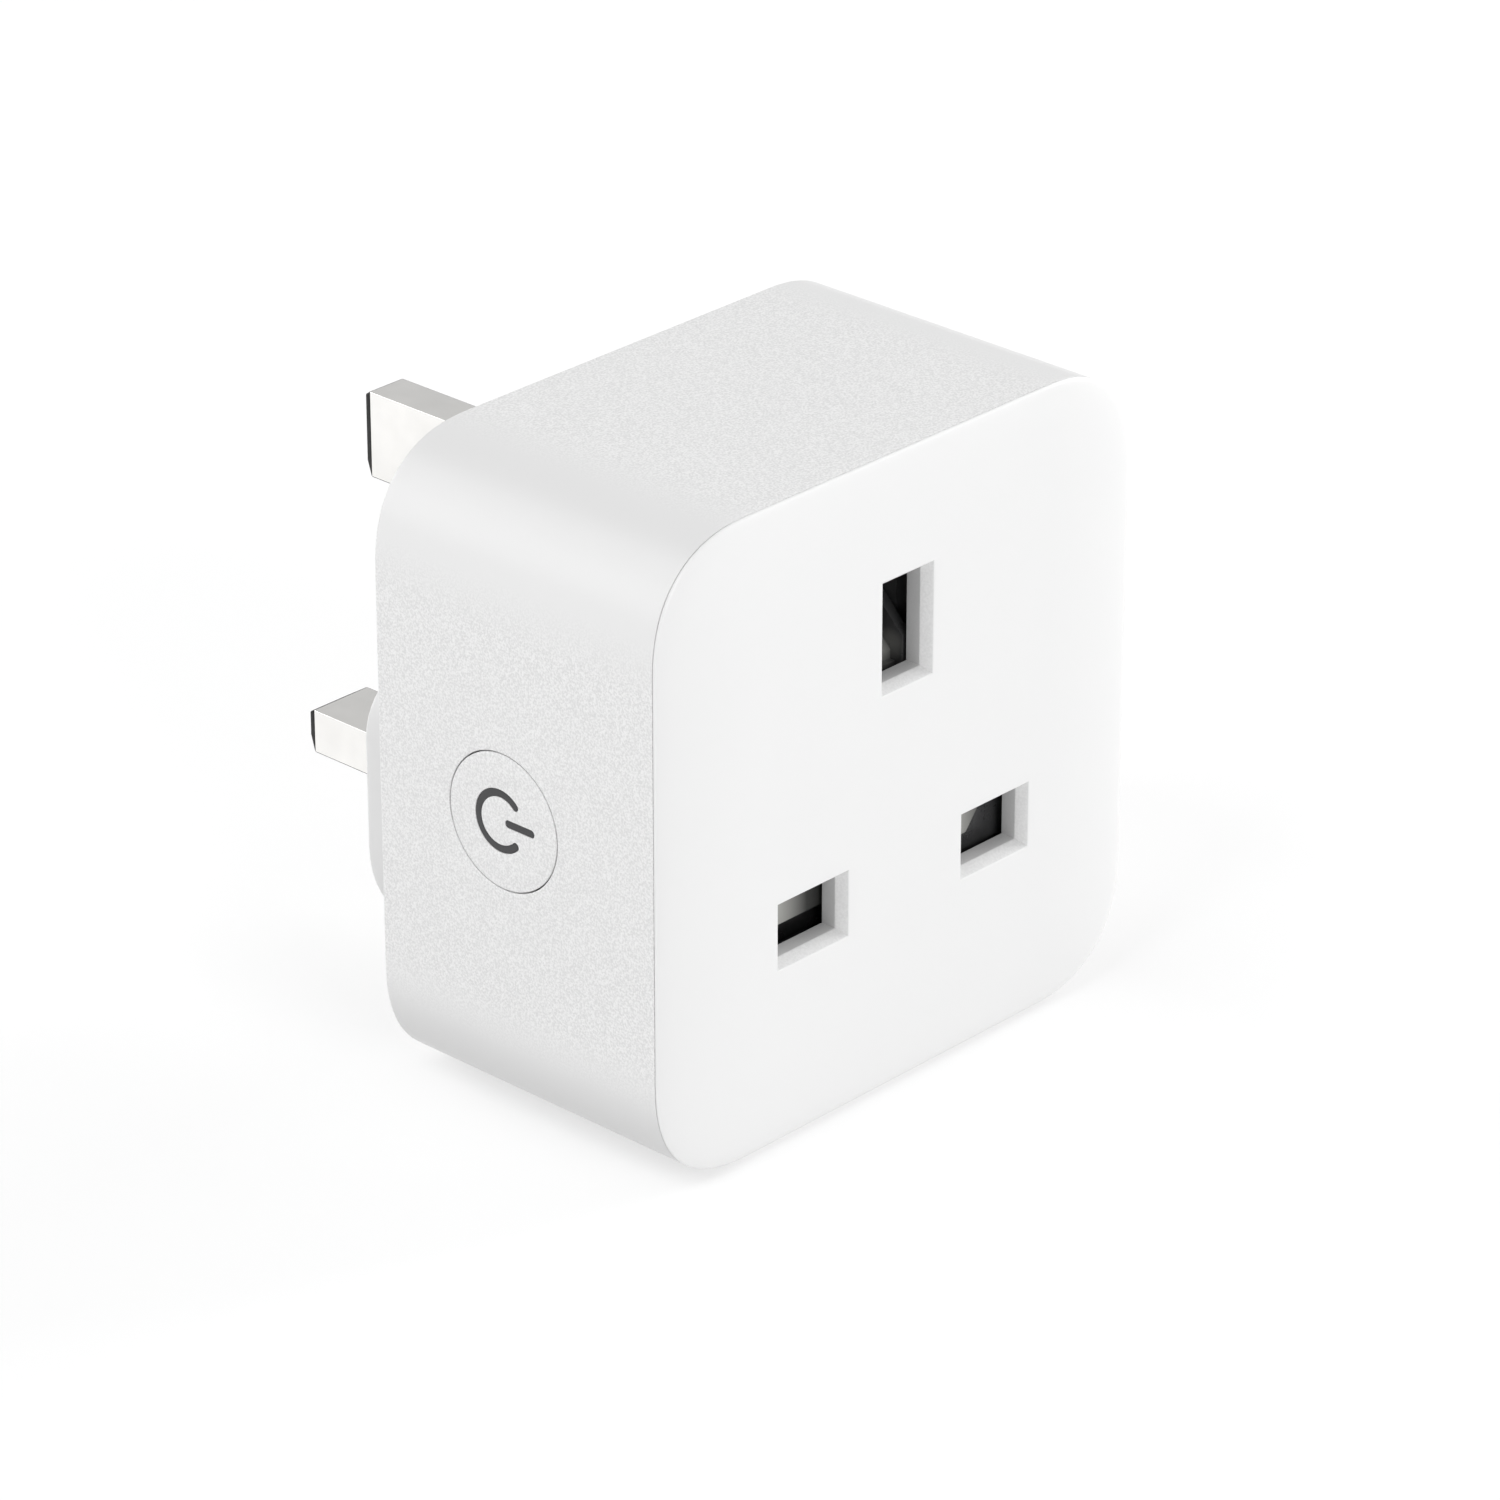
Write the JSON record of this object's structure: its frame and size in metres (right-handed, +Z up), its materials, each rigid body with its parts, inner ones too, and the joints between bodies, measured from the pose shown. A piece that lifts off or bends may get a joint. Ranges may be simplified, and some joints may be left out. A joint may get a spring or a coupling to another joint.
{
  "type": "pass-through smart plug",
  "caption": "Square white smart plug with three flat pins behind, a shuttered socket in front and a round power button on its left side.",
  "frame": {"origin": "middle of the pin boss's flat face, where it rests on the wall outlet", "axes": "+Y into the wall along the pins, +Z up towards the earth pin, +X right as seen from the front"},
  "size_m": [0.057, 0.0614, 0.057],
  "materials": {
    "cover_plastic": "smooth satin white",
    "shell_plastic": "fine spark-eroded grain, off-white",
    "base_plastic": "satin off-white",
    "plated_brass": "bright nickel plate",
    "sleeve_plastic": "satin black",
    "carrier_plastic": "satin dark grey",
    "contact_copper": "bare stamped strip",
    "shutter_plastic": "satin dark grey",
    "spring_steel": "drawn wire",
    "icon_pipe": "smoked translucent grey",
    "switch_plastic": "satin black",
    "led_lens": "clear",
    "board_laminate": "solder resist green",
    "can_steel": "tinned",
    "relay_case": "moulded blue",
    "capacitor_sleeve": "shrink sleeve",
    "film_case": "moulded yellow",
    "ferrite": "sintered",
    "varistor_coat": "dipped epoxy",
    "resistor_coat": "flameproof lacquer",
    "chip_resin": "moulding resin",
    "screw_steel": "zinc plated"
  },
  "bodies": {
    "housing": {"front_cover": "cover_plastic", "main_shell": "shell_plastic", "plug_base": "base_plastic", "earth_pin": "plated_brass", "live_pin": "plated_brass", "neutral_pin": "plated_brass", "live_pin_sleeve": "sleeve_plastic", "neutral_pin_sleeve": "sleeve_plastic", "contact_carrier": "carrier_plastic", "earth_contact": "contact_copper", "live_contact": "contact_copper", "neutral_contact": "contact_copper", "shutter_spring": "spring_steel", "control_board": "board_laminate", "tact_switch": "switch_plastic", "status_led": "led_lens", "radio_board": "board_laminate", "radio_shield_can": "can_steel", "radio_antenna": "contact_copper", "board_header": "switch_plastic", "power_board": "board_laminate", "relay": "relay_case", "bulk_capacitor": "capacitor_sleeve", "film_capacitor": "film_case", "drum_choke": "ferrite", "varistor": "varistor_coat", "fuse_resistor": "resistor_coat", "bridge_rectifier": "chip_resin", "converter_chip": "chip_resin", "metering_chip": "chip_resin", "shunt_resistor": "contact_copper", "neutral_link": "contact_copper", "live_link_in": "contact_copper", "live_link_out": "contact_copper", "earth_link": "contact_copper", "board_screw_1": "screw_steel", "board_screw_2": "screw_steel", "board_screw_3": "screw_steel", "board_screw_4": "screw_steel"},
    "button": {"button_cap": "shell_plastic", "icon_light_pipe": "icon_pipe", "switch_plunger": "switch_plastic"},
    "shutter_slide": {"shutter": "shutter_plastic"}
  },
  "joints": [
    {"name": "button_press", "type": "slide", "parent": "housing", "child": "button", "axis": [1, 0, 0], "range_m": [0, 0.0006], "stiffness_N_per_m": 1500, "springref_m": -0.0004},
    {"name": "shutter_travel", "type": "slide", "parent": "housing", "child": "shutter_slide", "axis": [0, 0, -1], "range_m": [0, 0.0058], "stiffness_N_per_m": 90, "springref_m": -0.003, "deforming": ["shutter_spring"]}
  ]
}
